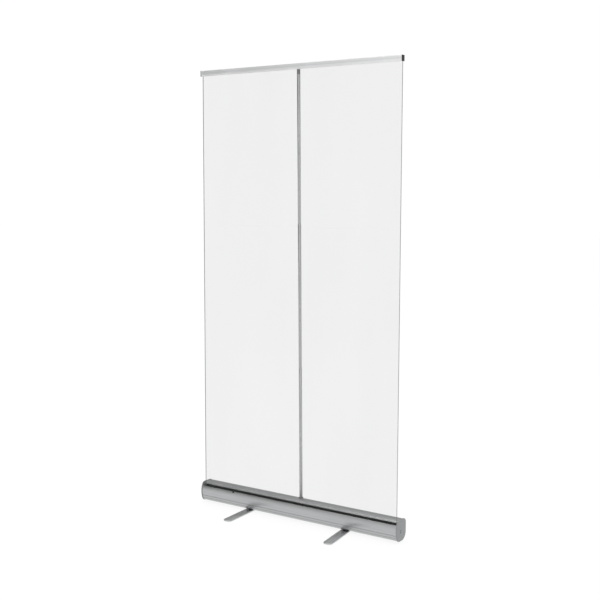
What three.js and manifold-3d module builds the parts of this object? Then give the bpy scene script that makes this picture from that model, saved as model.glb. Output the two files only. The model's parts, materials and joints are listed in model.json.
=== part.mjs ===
// Roll-up banner stand: a spring roller in an aluminium housing, a clear banner film that pulls
// out of the housing's mouth, a clamp rail on the film's top edge, a three-piece plug-in pole
// that holds the rail up, and two feet that swing out from under the housing.
// Millimetres, +Z up, +X to the right and +Y to the back; the banner film hangs in the plane y = 0.
import * as THREE from "three";
import { mergeVertices } from "three/addons/utils/BufferGeometryUtils.js";
import Module from "manifold-3d";

const wasm = await Module();
wasm.setup();

// ---- Driving sizes ----
const GAP = 0.3; // left between pieces that touch

const BANNER_WIDTH = 1000;
const BANNER_DROP = 1833; // from the top of the housing to the underside of the rail
const FILM_THICKNESS = 0.4;

const HOUSING_HEIGHT = 86;
const HOUSING_WALL = 1.8;
const HOUSING_OVERHANG = 5; // housing beyond each edge of the banner
const FRONT_REACH = 19.5; // film plane to the foremost point of the front wall
const LIP_REACH = 15; // film plane to the outside of the front lip
const LIP_DROP = 15; // front lip below the top
const BULGE_DROP = 24; // foremost point below the front lip
const FRONT_LOWER_RADIUS = 100; // front wall below its foremost point
const FRONT_CORNER_RADIUS = 22; // where the front wall turns under
const MOUTH_REAR = 1.2; // film plane to the rear lip
const REAR_LIP_RADIUS = 24;
const REAR_LIP_SWEEP = 55; // degrees
const REAR_TOP_RADIUS = 16.5;
const REAR_BOTTOM_RADIUS = 30.5;
const GROOVE_HEIGHTS = [16, 27]; // trim grooves above the housing's bottom
const GROOVE_WIDTH = 1.4;
const GROOVE_DEPTH = 1;

const CAP_THICKNESS = 4.7;
const CAP_RIM = 1.5; // cap outline proud of the housing
const CAP_BROW_RADIUS = 16.5; // where the caps round over the mouth
const MOUTH_END_SKIN = 1.6;
const CAP_BOSS_RADIUS = 11;
const SCREW_RADIUS = 1.5;
const SCREW_LENGTH = 20;
const SCREW_HEAD_RADIUS = 3.4;
const SCREW_HEAD_HEIGHT = 2.2;
const SCREW_RIM = 0.3; // straight edge of a countersunk head
const CHANNEL_WALL = 2.4; // round the screw channels inside the housing

const ROLLER_RADIUS = 13;
const ROLLER_WALL = 1;
const ROLLER_HEIGHT = 39; // axis above the housing's bottom
const WOUND_THICKNESS = 0.6; // film left on the roller when the banner is out
const WOUND_FULL = 5; // film on the roller when the banner is in
const AXLE_RADIUS = 4;
const PLUG_LENGTH = 24;
const PLUG_FLANGE = 2;
const SPRING_SHAFT_LENGTH = 410;
const TANG_HEIGHT = 5.8;
const TANG_WIDTH = 3.2;
const TANG_SLOT_HEIGHT = 12.4;
const SPRING_TURNS = 28;
const SPRING_WIRE_RADIUS = 1;
const SPRING_RADIUS = 7.4;
const ANCHOR_LENGTH = 14;

const POLE_RADIUS = 7;
const POLE_WALL = 0.9;
const POLE_SECTIONS = ["lower", "middle", "upper"];
const FERRULE_LENGTH = 110;
const FERRULE_WALL = 1.2;
const BUNGEE_RADIUS = 1.5;
const SOCKET_WALL = 1.2;
const SOCKET_HEIGHT = 30; // socket's underside above the housing's bottom
const SOCKET_COLLAR = 2; // socket above the housing's top
const SOCKET_FLOOR = 2;
const ROLL_TO_SOCKET = 4.2;
const SOCKET_TO_WALL = 1.2;

const RAIL_HEIGHT = 24;
const RAIL_FRONT = 12; // film plane to the rail's face
const RAIL_REAR = 7; // film plane to the rail's back
const RAIL_WALL = 1.3;
const RAIL_CHAMFER = 3;
const RAIL_CAP_THICKNESS = 2.6;
const RAIL_PLUG_DEPTH = 12;
const RAIL_TO_POLE = 2.6;
const JAW_GAP = 0.3; // film to each jaw
const STRIP_DROP = 3.3; // clamp strip below the rail's top
const STRIP_WALL = 1.3;
const CHANNEL_LIP_HEIGHT = 9; // rear flange's lower edge above the rail's bottom
const HOOK_WIDTH = 12;
const HOOK_THICKNESS = 2;
const HOOK_WEB_HEIGHT = 3.6;
const HOOK_HEAD_HEIGHT = 26;

const FOOT_WIDTH = 40;
const FOOT_THICKNESS = 5;
const FOOT_REACH = 195; // pivot to tip
const FOOT_HEEL = 45; // pivot to heel
const FOOT_CORNER = 15;
const FOOT_SPREAD = 500; // between the two pivots
const LEFT_FOOT_TURN = 2.5; // degrees from square to the housing
const RIGHT_FOOT_TURN = 7;
const PAD_RADIUS = 12;
const PAD_THICKNESS = 1.5;
const PAD_INSET = 18; // pad centre from the end of the foot
const WASHER_RADIUS = 9;
const WASHER_THICKNESS = 1.1;
const BOLT_RADIUS = 3;
const BOLT_HEAD_RADIUS = 5.6;
const BOLT_HEAD_HEIGHT = 2.6;
const PLATE_WIDTH = 16;
const PLATE_LENGTH = 44;
const PLATE_THICKNESS = 3;
const NUT_RADIUS = 5.5;
const NUT_HEIGHT = 4.5;

const BUMPER_WIDTH = 7;
const BUMPER_DEPTH = 3.4;
const BUMPER_HEIGHT = 4;
const BUMPER_X = -327;

// ---- Places worked out from the sizes ----
const footBottom = PAD_THICKNESS + GAP;
const footTop = footBottom + FOOT_THICKNESS;
const washerBottom = footTop + GAP;
const housingBottom = washerBottom + WASHER_THICKNESS + GAP;
const housingTop = housingBottom + HOUSING_HEIGHT;
const housingEnd = BANNER_WIDTH / 2 + HOUSING_OVERHANG;
const capInner = housingEnd + GAP;
const capOuter = capInner + CAP_THICKNESS;

const windRadius = ROLLER_RADIUS + GAP + WOUND_THICKNESS;
const fullRadius = ROLLER_RADIUS + WOUND_FULL;
const rollerY = FILM_THICKNESS / 2 + GAP + windRadius;
const rollerZ = housingBottom + ROLLER_HEIGHT;
const boreRadius = ROLLER_RADIUS - ROLLER_WALL;
const plugStart = BANNER_WIDTH / 2 + PLUG_FLANGE - PLUG_LENGTH;

const socketBore = POLE_RADIUS + GAP;
const socketRadius = socketBore + SOCKET_WALL;
const socketY = rollerY + fullRadius + ROLL_TO_SOCKET + socketRadius;
const housingRear = socketY + socketRadius + SOCKET_TO_WALL + HOUSING_WALL;
const socketBottom = housingBottom + SOCKET_HEIGHT;

const lipZ = housingTop - LIP_DROP;
const bulgeZ = lipZ - BULGE_DROP;
const bulgeSagitta = FRONT_REACH - LIP_REACH;
const frontRadius = (BULGE_DROP ** 2 + bulgeSagitta ** 2) / (2 * bulgeSagitta);
const frontY = frontRadius - FRONT_REACH;
const lowerRatio = FRONT_CORNER_RADIUS / FRONT_LOWER_RADIUS;
const lowerDrop = (bulgeZ - housingBottom - FRONT_CORNER_RADIUS) / (1 - lowerRatio);
const turnUnder = Math.asin(lowerDrop / FRONT_LOWER_RADIUS);
const lowerY = FRONT_LOWER_RADIUS - FRONT_REACH;
const flatFront = lowerY - (FRONT_LOWER_RADIUS - FRONT_CORNER_RADIUS) * Math.cos(turnUnder);
const flatRear = housingRear - REAR_BOTTOM_RADIUS;

const railBottom = housingTop + BANNER_DROP;
const railTop = railBottom + RAIL_HEIGHT;
const railEnd = BANNER_WIDTH / 2;
const jaw = FILM_THICKNESS / 2 + JAW_GAP;
const stripTop = railTop - STRIP_DROP;
const poleTopY = RAIL_REAR + RAIL_TO_POLE + POLE_RADIUS;
const poleSeat = socketBottom + SOCKET_FLOOR + GAP;
const poleHead = railBottom + CHANNEL_LIP_HEIGHT - GAP;
const poleTilt = Math.atan2(socketY - poleTopY, poleHead - poleSeat);
const poleLength = (poleHead - poleSeat) / Math.cos(poleTilt);

const pivotY = (flatFront + flatRear) / 2;
const feet = [
  { side: "left", x: -FOOT_SPREAD / 2, turn: LEFT_FOOT_TURN },
  { side: "right", x: FOOT_SPREAD / 2, turn: RIGHT_FOOT_TURN },
];

const plateBottom = housingBottom + HOUSING_WALL + GAP;
const nutBottom = plateBottom + PLATE_THICKNESS + GAP;

const capScrew = {
  radius: SCREW_RADIUS,
  length: SCREW_LENGTH,
  headRadius: SCREW_HEAD_RADIUS,
  headHeight: SCREW_HEAD_HEIGHT,
};
const footBolt = {
  radius: BOLT_RADIUS,
  length: nutBottom + NUT_HEIGHT + 1 - footBottom,
  headRadius: BOLT_HEAD_RADIUS,
  headHeight: BOLT_HEAD_HEIGHT,
};

// Where the end caps are screwed into the housing.
const channels = [
  { place: "top", y: housingRear - 18.5, z: housingTop - 9, web: new THREE.Vector2(0, 1) },
  { place: "rear", y: housingRear - 16.5, z: housingBottom + 20, web: new THREE.Vector2(1, 0) },
  { place: "front", y: flatFront - 4, z: housingBottom + 12.5, web: new THREE.Vector2(0, -1) },
];

// ---- Materials ----
function metal(color, roughness) {
  return new THREE.MeshStandardMaterial({ color, roughness, metalness: 1 });
}

function plastic(color, roughness) {
  return new THREE.MeshStandardMaterial({ color, roughness, metalness: 0 });
}

const aluminium = metal(0xb4b6b8, 0.35);
const railAluminium = metal(0xcdcfd1, 0.3);
const poleAluminium = metal(0xa9abad, 0.32);
const steel = metal(0x8f9294, 0.4);
const footSteel = metal(0x9a9c9e, 0.45);
const silverPlastic = plastic(0x96989a, 0.5);
const blackPlastic = plastic(0x1d1e20, 0.55);
const greyPlastic = plastic(0x55585b, 0.55);
const rubber = plastic(0x161617, 0.85);
const elastic = plastic(0x2b2b2d, 0.9);
const film = new THREE.MeshStandardMaterial({
  color: 0xf1f2f2,
  roughness: 0.12,
  metalness: 0,
  transparent: true,
  opacity: 0.35,
});

// ---- Shape helpers ----
const alongX = new THREE.Matrix4().makeBasis(
  new THREE.Vector3(0, 1, 0),
  new THREE.Vector3(0, 0, 1),
  new THREE.Vector3(1, 0, 0),
);

// Points on an ellipse between two angles in degrees, both ends included.
function arc(y, z, ry, rz, from, to, steps) {
  return Array.from({ length: steps + 1 }, (_, i) => {
    const angle = THREE.MathUtils.degToRad(from + ((to - from) * i) / steps);
    return new THREE.Vector2(y + ry * Math.cos(angle), z + rz * Math.sin(angle));
  });
}

function circle(y, z, radius, steps = 24) {
  return arc(y, z, radius, radius, 0, 360, steps).slice(0, steps);
}

function rectangle(y0, z0, y1, z1) {
  return [
    new THREE.Vector2(y0, z0),
    new THREE.Vector2(y1, z0),
    new THREE.Vector2(y1, z1),
    new THREE.Vector2(y0, z1),
  ];
}

function extrude(outline, depth, holes = []) {
  const shape = new THREE.Shape(outline);
  shape.holes = holes.map((hole) => new THREE.Path(hole));
  return new THREE.ExtrudeGeometry(shape, { depth, bevelEnabled: false });
}

// An outline in the YZ plane, extruded along X.
function profile(outline, from, to, holes) {
  return extrude(outline, to - from, holes).applyMatrix4(alongX).translate(from, 0, 0);
}

// An outline in the XY plane, extruded along Z.
function plate(outline, from, to, holes) {
  return extrude(outline, to - from, holes).translate(0, 0, from);
}

// A closed half-section of [radius, height] points, turned about Z.
function turned(section, steps = 24) {
  const points = section.map(([radius, height]) => new THREE.Vector2(radius, height));
  return new THREE.LatheGeometry(points, steps).rotateX(Math.PI / 2);
}

// A ring or sleeve about Z.
function sleeve(inner, outer, from, to, steps = 24) {
  return plate(circle(0, 0, outer, steps), from, to, [circle(0, 0, inner, steps)]);
}

// Lays a piece made about Z along the roller's axis; side is +1 at the right end, -1 at the left.
function onRollerAxis(geometry, side = 1) {
  return geometry.rotateY((side * Math.PI) / 2).translate(0, rollerY, rollerZ);
}

// The half-section of a countersunk screw, head upwards; with a clearance, that of its hole.
function screwSection({ radius, length, headRadius, headHeight }, clearance = 0) {
  return [
    [0, -length],
    [radius + clearance, -length],
    [radius + clearance, -headHeight],
    [headRadius + clearance, -SCREW_RIM],
    [headRadius + clearance, clearance],
    [0, clearance],
  ];
}

function solid(geometry) {
  geometry.deleteAttribute("normal");
  geometry.deleteAttribute("uv");
  const merged = mergeVertices(geometry, 1e-4);
  return new wasm.Manifold(
    new wasm.Mesh({
      numProp: 3,
      vertProperties: merged.attributes.position.array,
      triVerts: new Uint32Array(merged.index.array),
    }),
  );
}

function geometryOf(body) {
  const { vertProperties, triVerts } = body.getMesh();
  const geometry = new THREE.BufferGeometry();
  geometry.setAttribute("position", new THREE.BufferAttribute(vertProperties, 3));
  geometry.setIndex(new THREE.BufferAttribute(triVerts, 1));
  geometry.computeVertexNormals();
  return geometry;
}

function cut(geometry, ...tools) {
  return geometryOf(tools.reduce((body, tool) => body.subtract(solid(tool)), solid(geometry)));
}

function join(geometry, ...others) {
  return geometryOf(others.reduce((body, other) => body.add(solid(other)), solid(geometry)));
}

function piece(name, geometry, material) {
  const mesh = new THREE.Mesh(geometry, material);
  mesh.name = name;
  return mesh;
}

// ---- Housing ----
// The housing's section, grown outwards by an offset. The housing's own is open at the mouth,
// which a straight line closes; an end cap's runs on over the mouth in one curve.
function housingSection(offset, overMouth = false) {
  const degrees = THREE.MathUtils.radToDeg;
  const around = (y, z, radius, from, to, steps) =>
    arc(y, z, radius + offset, radius + offset, from, to, steps);
  const browZ = housingTop - CAP_BROW_RADIUS;
  const browRise = Math.asin((browZ - bulgeZ) / (frontRadius - CAP_BROW_RADIUS));
  const browY = frontY - (frontRadius - CAP_BROW_RADIUS) * Math.cos(browRise);
  const rearLipY = MOUTH_REAR + REAR_LIP_RADIUS * Math.sin(THREE.MathUtils.degToRad(REAR_LIP_SWEEP));
  const wallEnd = overMouth ? browRise : Math.asin(BULGE_DROP / frontRadius);
  const overhead = overMouth
    ? around(browY, browZ, CAP_BROW_RADIUS, 180 - degrees(browRise), 90, 6).slice(1)
    : around(rearLipY, housingTop - REAR_LIP_RADIUS, REAR_LIP_RADIUS, 90 + REAR_LIP_SWEEP, 90, 5);
  return [
    ...overhead,
    ...around(
      housingRear - REAR_TOP_RADIUS,
      housingTop - REAR_TOP_RADIUS,
      REAR_TOP_RADIUS,
      90,
      0,
      7,
    ),
    ...around(flatRear, housingBottom + REAR_BOTTOM_RADIUS, REAR_BOTTOM_RADIUS, 0, -90, 9),
    ...around(
      flatFront,
      housingBottom + FRONT_CORNER_RADIUS,
      FRONT_CORNER_RADIUS,
      270,
      180 + degrees(turnUnder),
      7,
    ),
    ...around(lowerY, bulgeZ, FRONT_LOWER_RADIUS, 180 + degrees(turnUnder), 180, 5).slice(1),
    ...around(frontY, bulgeZ, frontRadius, 180, 180 - degrees(wallEnd), 5).slice(1),
  ].reverse();
}

// A C-shaped screw channel, open on the side away from its web.
function screwChannel({ y, z, web }) {
  const bore = SCREW_RADIUS + GAP;
  const outer = bore + CHANNEL_WALL;
  const facing = THREE.MathUtils.radToDeg(web.angle());
  const ring = [
    ...arc(y, z, outer, outer, facing - 145, facing + 145, 14),
    ...arc(y, z, bore, bore, facing + 145, facing - 145, 14),
  ];
  const root = new THREE.Vector2(y, z).addScaledVector(web, outer - 1);
  const end = new THREE.Vector2(y, z).addScaledVector(web, housingRear);
  const side = new THREE.Vector2(-web.y, web.x);
  const fin = [
    root.clone().sub(side),
    end.clone().sub(side),
    end.clone().add(side),
    root.clone().add(side),
  ];
  return join(profile(ring, -housingEnd, housingEnd), profile(fin, -housingEnd, housingEnd));
}

function housingExtrusion() {
  const outside = solid(profile(housingSection(0), -housingEnd, housingEnd));
  const inside = solid(profile(housingSection(-HOUSING_WALL), -capOuter, capOuter));
  const fins = channels.map(screwChannel).map(solid);
  const shell = fins.reduce((body, fin) => body.add(outside.intersect(fin)), outside.subtract(inside));
  const mouth = rectangle(HOUSING_WALL - LIP_REACH, bulgeZ, MOUTH_REAR, housingTop + 1);
  const tools = [profile(mouth, -capOuter, capOuter), socketHole(), ...GROOVE_HEIGHTS.map(trimGroove)];
  for (const foot of feet) tools.push(boltHole(foot));
  return tools.reduce((body, tool) => body.subtract(solid(tool)), shell);
}

// A fine groove along the lower front wall.
function trimGroove(height) {
  const z = housingBottom + height;
  const wall = lowerY - Math.sqrt(FRONT_LOWER_RADIUS ** 2 - (bulgeZ - z) ** 2);
  const section = rectangle(wall - 2, z, wall + GROOVE_DEPTH, z + GROOVE_WIDTH);
  return profile(section, -capOuter, capOuter);
}

function socketHole() {
  return onPoleAxis(plate(circle(0, 0, socketRadius + GAP, 32), 0, HOUSING_HEIGHT));
}

function boltHole({ x }) {
  const hole = plate(circle(0, 0, BOLT_RADIUS + GAP), 0, housingBottom + HOUSING_WALL + 1);
  return hole.translate(x, pivotY, 0);
}

// ---- End caps and what the roller turns on ----
function endCap(side) {
  const body = profile(housingSection(CAP_RIM, true), capInner, capOuter);
  const bossEnd = housingEnd - 2;
  const boss = profile(circle(rollerY, rollerZ, CAP_BOSS_RADIUS), bossEnd, capInner + 1);
  const holes = channels.map(({ y, z }) => countersink(y, z));
  holes.push(...(side > 0 ? [tangSlot(bossEnd)] : [pinBore(bossEnd), mouthEnd()]));
  const cap = cut(join(body, boss), ...holes);
  return side > 0 ? cap : mirrored(cap);
}

// The mouth runs on into the left cap, as far as the cap's outer skin.
function mouthEnd() {
  const pocket = rectangle(HOUSING_WALL - LIP_REACH, bulgeZ, MOUTH_REAR, housingTop + 5);
  return profile(pocket, capInner - 1, capOuter - MOUTH_END_SKIN);
}

// A solid reflected in the plane x = 0, with its faces turned the right way out again.
function mirrored(geometry) {
  const flipped = geometry.clone().scale(-1, 1, 1);
  const index = flipped.index.array;
  for (let i = 0; i < index.length; i += 3) [index[i], index[i + 1]] = [index[i + 1], index[i]];
  flipped.computeVertexNormals();
  return flipped;
}

function countersink(y, z) {
  return turned(screwSection(capScrew, GAP), 20).rotateY(Math.PI / 2).translate(capOuter, y, z);
}

function endCapScrew({ y, z }, side) {
  const screw = turned(screwSection(capScrew), 16).rotateY((side * Math.PI) / 2);
  return screw.translate(side * capOuter, y, z);
}

function tangSlot(from) {
  const half = TANG_WIDTH / 2 + GAP;
  const rise = TANG_SLOT_HEIGHT / 2;
  const slot = rectangle(rollerY - half, rollerZ - rise, rollerY + half, rollerZ + rise);
  return profile(slot, from - 1, capOuter + 1);
}

function pinBore(from) {
  return profile(circle(rollerY, rollerZ, AXLE_RADIUS + GAP), from - 1, capInner + 2);
}

// The plain pin that the roller's idle end turns on.
function idlePin() {
  return turned([
    [0, housingEnd - PLUG_LENGTH],
    [AXLE_RADIUS - 1, housingEnd - PLUG_LENGTH],
    [AXLE_RADIUS, housingEnd - PLUG_LENGTH + 1],
    [AXLE_RADIUS, capInner + 2 - GAP],
    [0, capInner + 2 - GAP],
  ]);
}

// The fixed shaft inside the spring, held from turning by a flat tang in the right end cap.
function springShaft() {
  const start = housingEnd - 2;
  const shaft = profile(circle(rollerY, rollerZ, AXLE_RADIUS), start - SPRING_SHAFT_LENGTH, start - GAP);
  const tang = rectangle(
    rollerY - TANG_WIDTH / 2,
    rollerZ - TANG_HEIGHT / 2,
    rollerY + TANG_WIDTH / 2,
    rollerZ + TANG_HEIGHT / 2,
  );
  return join(shaft, profile(tang, start - 1, capOuter - 1));
}

class Coil extends THREE.Curve {
  constructor(radius, turns, length) {
    super();
    Object.assign(this, { radius, turns, length });
  }

  getPoint(t, target = new THREE.Vector3()) {
    const angle = 2 * Math.PI * this.turns * t;
    return target.set(
      this.radius * Math.cos(angle),
      this.radius * Math.sin(angle),
      this.length * t,
    );
  }
}

const anchorStart = housingEnd - SPRING_SHAFT_LENGTH;
const springStart = anchorStart + ANCHOR_LENGTH + SPRING_WIRE_RADIUS + GAP;
const springEnd = plugStart - SPRING_WIRE_RADIUS - GAP;

function torsionSpring() {
  const wire = new THREE.Shape(circle(0, 0, SPRING_WIRE_RADIUS, 6));
  const path = new Coil(SPRING_RADIUS, SPRING_TURNS, springEnd - springStart);
  const coil = new THREE.ExtrudeGeometry(wire, {
    steps: SPRING_TURNS * 10,
    extrudePath: path,
    bevelEnabled: false,
  });
  return onRollerAxis(coil.translate(0, 0, springStart));
}

function springAnchor() {
  return onRollerAxis(
    sleeve(AXLE_RADIUS + GAP, SPRING_RADIUS + 2, anchorStart, anchorStart + ANCHOR_LENGTH),
  );
}

// ---- Roller ----
function rollerTube() {
  const half = BANNER_WIDTH / 2;
  return onRollerAxis(sleeve(boreRadius, ROLLER_RADIUS, -half, half, 36));
}

function rollerPlug(side) {
  const tubeEnd = BANNER_WIDTH / 2;
  const bore = AXLE_RADIUS + GAP;
  const plug = turned(
    [
      [bore, plugStart],
      [boreRadius - GAP, plugStart],
      [boreRadius - GAP, tubeEnd + GAP],
      [ROLLER_RADIUS - GAP, tubeEnd + GAP],
      [ROLLER_RADIUS - GAP, tubeEnd + PLUG_FLANGE],
      [bore, tubeEnd + PLUG_FLANGE],
      [bore, plugStart],
    ],
    36,
  );
  return onRollerAxis(plug, side);
}

function woundFilm() {
  const half = BANNER_WIDTH / 2;
  return onRollerAxis(sleeve(ROLLER_RADIUS + GAP, windRadius, -half, half, 36));
}

// ---- Pole ----
// Stands a piece made about Z, from its foot upwards, on the pole's leaning axis.
function onPoleAxis(geometry) {
  return geometry.rotateX(poleTilt).translate(0, socketY, poleSeat);
}

function poleSocket() {
  const floor = -SOCKET_FLOOR - GAP;
  const top = housingTop + SOCKET_COLLAR - poleSeat;
  return onPoleAxis(
    turned(
      [
        [0, floor],
        [socketRadius, floor],
        [socketRadius, top],
        [socketBore, top],
        [socketBore, -GAP],
        [0, -GAP],
      ],
      32,
    ),
  );
}

const plugHeight = 3; // shoulder of the foot plug under the lowest tube
const tubesFrom = plugHeight + GAP;
const tubesTo = poleLength - HOOK_HEAD_HEIGHT - GAP;
const tubeBore = POLE_RADIUS - POLE_WALL;
const sectionPitch = (tubesTo - tubesFrom + GAP) / POLE_SECTIONS.length;

function poleSection(index) {
  const from = tubesFrom + index * sectionPitch;
  return onPoleAxis(sleeve(tubeBore, POLE_RADIUS, from, from + sectionPitch - GAP));
}

// The sleeve that plugs one pole section into the next.
function poleFerrule(index) {
  const joint = tubesFrom + index * sectionPitch;
  const outer = tubeBore - GAP;
  const half = FERRULE_LENGTH / 2;
  return onPoleAxis(sleeve(outer - FERRULE_WALL, outer, joint - half, joint + half, 20));
}

function poleFootPlug() {
  return onPoleAxis(
    turned([
      [0, 0],
      [POLE_RADIUS - 1, 0],
      [POLE_RADIUS, 1],
      [POLE_RADIUS, plugHeight],
      [tubeBore - GAP, plugHeight],
      [tubeBore - GAP, plugHeight + 20],
      [0, plugHeight + 20],
    ]),
  );
}

function poleBungee() {
  const from = plugHeight + 20 + GAP;
  const to = tubesTo - 20 - GAP;
  return onPoleAxis(plate(circle(0, 0, BUNGEE_RADIUS, 8), from, to));
}

// The plug in the top of the pole, with a tongue that reaches up into the rail's rear channel.
function poleHook() {
  const neck = poleLength - HOOK_HEAD_HEIGHT;
  const head = turned([
    [0, tubesTo - 20],
    [tubeBore - GAP, tubesTo - 20],
    [tubeBore - GAP, neck],
    [POLE_RADIUS, neck],
    [POLE_RADIUS, poleLength - 1],
    [POLE_RADIUS - 1, poleLength],
    [0, poleLength],
  ]);
  const webTop = railBottom + CHANNEL_LIP_HEIGHT - GAP;
  const webBottom = webTop - HOOK_WEB_HEIGHT;
  const channelMiddle = (jaw + STRIP_WALL + RAIL_REAR - STRIP_WALL) / 2;
  const front = channelMiddle - HOOK_THICKNESS / 2;
  const tongueTop = stripTop - STRIP_WALL - GAP;
  const tongue = [
    new THREE.Vector2(front, webBottom),
    new THREE.Vector2(poleTopY - 2, webBottom),
    new THREE.Vector2(poleTopY - 2, webTop),
    new THREE.Vector2(front + HOOK_THICKNESS, webTop),
    new THREE.Vector2(front + HOOK_THICKNESS, tongueTop),
    new THREE.Vector2(front, tongueTop),
  ];
  return join(onPoleAxis(head), profile(tongue, -HOOK_WIDTH / 2, HOOK_WIDTH / 2));
}

// ---- Top rail and film ----
// The front half of the clamp rail: a hollow box whose top reaches back over the clamp strip.
function topRail() {
  const outline = [
    new THREE.Vector2(-jaw, railBottom),
    new THREE.Vector2(-jaw, stripTop + GAP),
    new THREE.Vector2(RAIL_REAR, stripTop + GAP),
    new THREE.Vector2(RAIL_REAR, railTop - 1),
    new THREE.Vector2(RAIL_REAR - 1, railTop),
    new THREE.Vector2(2 - RAIL_FRONT, railTop),
    new THREE.Vector2(-RAIL_FRONT, railTop - 2),
    new THREE.Vector2(-RAIL_FRONT, railBottom + RAIL_CHAMFER),
    new THREE.Vector2(RAIL_CHAMFER - RAIL_FRONT, railBottom),
  ];
  return profile(outline.reverse(), -railEnd, railEnd, [railChamber(0)]);
}

function railChamber(clearance) {
  const inset = RAIL_WALL + clearance;
  return [
    new THREE.Vector2(-jaw - inset, railBottom + inset),
    new THREE.Vector2(-jaw - inset, railTop - inset),
    new THREE.Vector2(2 - RAIL_FRONT + clearance, railTop - inset),
    new THREE.Vector2(inset - RAIL_FRONT, railTop - 2 - clearance),
    new THREE.Vector2(inset - RAIL_FRONT, railBottom + RAIL_CHAMFER + clearance),
    new THREE.Vector2(RAIL_CHAMFER - RAIL_FRONT + clearance, railBottom + inset),
  ];
}

// The snap-in rear half: a jaw against the film and a channel, open below, for the pole's hook.
function clampStrip() {
  const outline = [
    new THREE.Vector2(jaw, railBottom + 0.8),
    new THREE.Vector2(jaw + STRIP_WALL, railBottom + 0.8),
    new THREE.Vector2(jaw + STRIP_WALL, stripTop - STRIP_WALL),
    new THREE.Vector2(RAIL_REAR - STRIP_WALL, stripTop - STRIP_WALL),
    new THREE.Vector2(RAIL_REAR - STRIP_WALL, railBottom + CHANNEL_LIP_HEIGHT),
    new THREE.Vector2(RAIL_REAR, railBottom + CHANNEL_LIP_HEIGHT),
    new THREE.Vector2(RAIL_REAR, stripTop),
    new THREE.Vector2(jaw, stripTop),
  ];
  return profile(outline, -railEnd, railEnd);
}

function railEndCap(side) {
  const face = rectangle(-RAIL_FRONT, railBottom, RAIL_REAR, railTop);
  const flange = profile(face, railEnd + GAP, railEnd + GAP + RAIL_CAP_THICKNESS);
  const plug = profile(railChamber(GAP).reverse(), railEnd - RAIL_PLUG_DEPTH, railEnd + GAP + 1);
  const cap = join(flange, plug);
  return side > 0 ? cap : mirrored(cap);
}

function bannerFilm() {
  const height = stripTop - GAP - rollerZ;
  return new THREE.BoxGeometry(BANNER_WIDTH, FILM_THICKNESS, height).translate(
    0,
    0,
    rollerZ + height / 2,
  );
}

// ---- Feet ----
function roundedRectangle(x0, y0, x1, y1, radius) {
  return [
    ...arc(x1 - radius, y1 - radius, radius, radius, 0, 90, 6),
    ...arc(x0 + radius, y1 - radius, radius, radius, 90, 180, 6),
    ...arc(x0 + radius, y0 + radius, radius, radius, 180, 270, 6),
    ...arc(x1 - radius, y0 + radius, radius, radius, 270, 360, 6),
  ];
}

// Places a piece drawn with the foot square to the housing and its pivot at the origin.
function onFoot(geometry, { x, turn }) {
  return geometry.rotateZ(THREE.MathUtils.degToRad(turn)).translate(x, pivotY, 0);
}

// Stands a screw, drawn head upwards, on its head just inside the underside of a foot.
function onBoltAxis(geometry) {
  return geometry.rotateX(Math.PI).translate(0, 0, footBottom + GAP);
}

function footBar(foot) {
  const half = FOOT_WIDTH / 2;
  const outline = roundedRectangle(-half, -FOOT_REACH, half, FOOT_HEEL, FOOT_CORNER);
  const hole = onBoltAxis(turned(screwSection(footBolt, GAP)));
  return onFoot(cut(plate(outline, footBottom, footTop), hole), foot);
}

function footPad(foot, y) {
  return onFoot(plate(circle(0, y, PAD_RADIUS, 20), 0, PAD_THICKNESS), foot);
}

function pivotBolt({ x }) {
  return onBoltAxis(turned(screwSection(footBolt))).translate(x, pivotY, 0);
}

function footWasher({ x }) {
  const washerTop = washerBottom + WASHER_THICKNESS;
  const ring = sleeve(BOLT_RADIUS + GAP, WASHER_RADIUS, washerBottom, washerTop);
  return ring.translate(x, pivotY, 0);
}

function footPlate({ x }) {
  const outline = rectangle(-PLATE_LENGTH / 2, -PLATE_WIDTH / 2, PLATE_LENGTH / 2, PLATE_WIDTH / 2);
  const hole = circle(0, 0, BOLT_RADIUS + GAP);
  const bar = plate(outline, plateBottom, plateBottom + PLATE_THICKNESS, [hole]);
  return bar.translate(x, pivotY, 0);
}

function footNut({ x }) {
  const hole = circle(0, 0, BOLT_RADIUS + GAP);
  const nut = plate(circle(0, 0, NUT_RADIUS, 6), nutBottom, nutBottom + NUT_HEIGHT, [hole]);
  return nut.translate(x, pivotY, 0);
}

// A small rubber stop stuck on the front lip, which the rail meets as it comes down.
function lipBumper() {
  const middle = HOUSING_WALL / 2 - LIP_REACH;
  const from = lipZ + 1 + GAP;
  const block = rectangle(
    middle - BUMPER_DEPTH / 2,
    from,
    middle + BUMPER_DEPTH / 2,
    from + BUMPER_HEIGHT,
  );
  return profile(block, BUMPER_X - BUMPER_WIDTH / 2, BUMPER_X + BUMPER_WIDTH / 2);
}

// ---- Assembly ----
const housing = new THREE.Group();
housing.add(piece("housing_extrusion", geometryOf(housingExtrusion()), aluminium));
for (const [side, sign] of [["left", -1], ["right", 1]]) {
  housing.add(piece(`${side}_end_cap`, endCap(sign), silverPlastic));
  for (const channel of channels) {
    housing.add(piece(`${side}_cap_screw_${channel.place}`, endCapScrew(channel, sign), steel));
  }
}
housing.add(piece("idle_pin", onRollerAxis(idlePin(), -1), steel));
housing.add(piece("spring_shaft", springShaft(), steel));
housing.add(piece("spring_anchor", springAnchor(), blackPlastic));
housing.add(piece("torsion_spring", torsionSpring(), steel));
housing.add(piece("pole_socket", poleSocket(), greyPlastic));
housing.add(piece("lip_bumper", lipBumper(), rubber));

const roller = new THREE.Group();
roller.add(piece("roller_tube", rollerTube(), aluminium));
roller.add(piece("roller_plug_left", rollerPlug(-1), blackPlastic));
roller.add(piece("roller_plug_right", rollerPlug(1), blackPlastic));
roller.add(piece("wound_film", woundFilm(), film));

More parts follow.
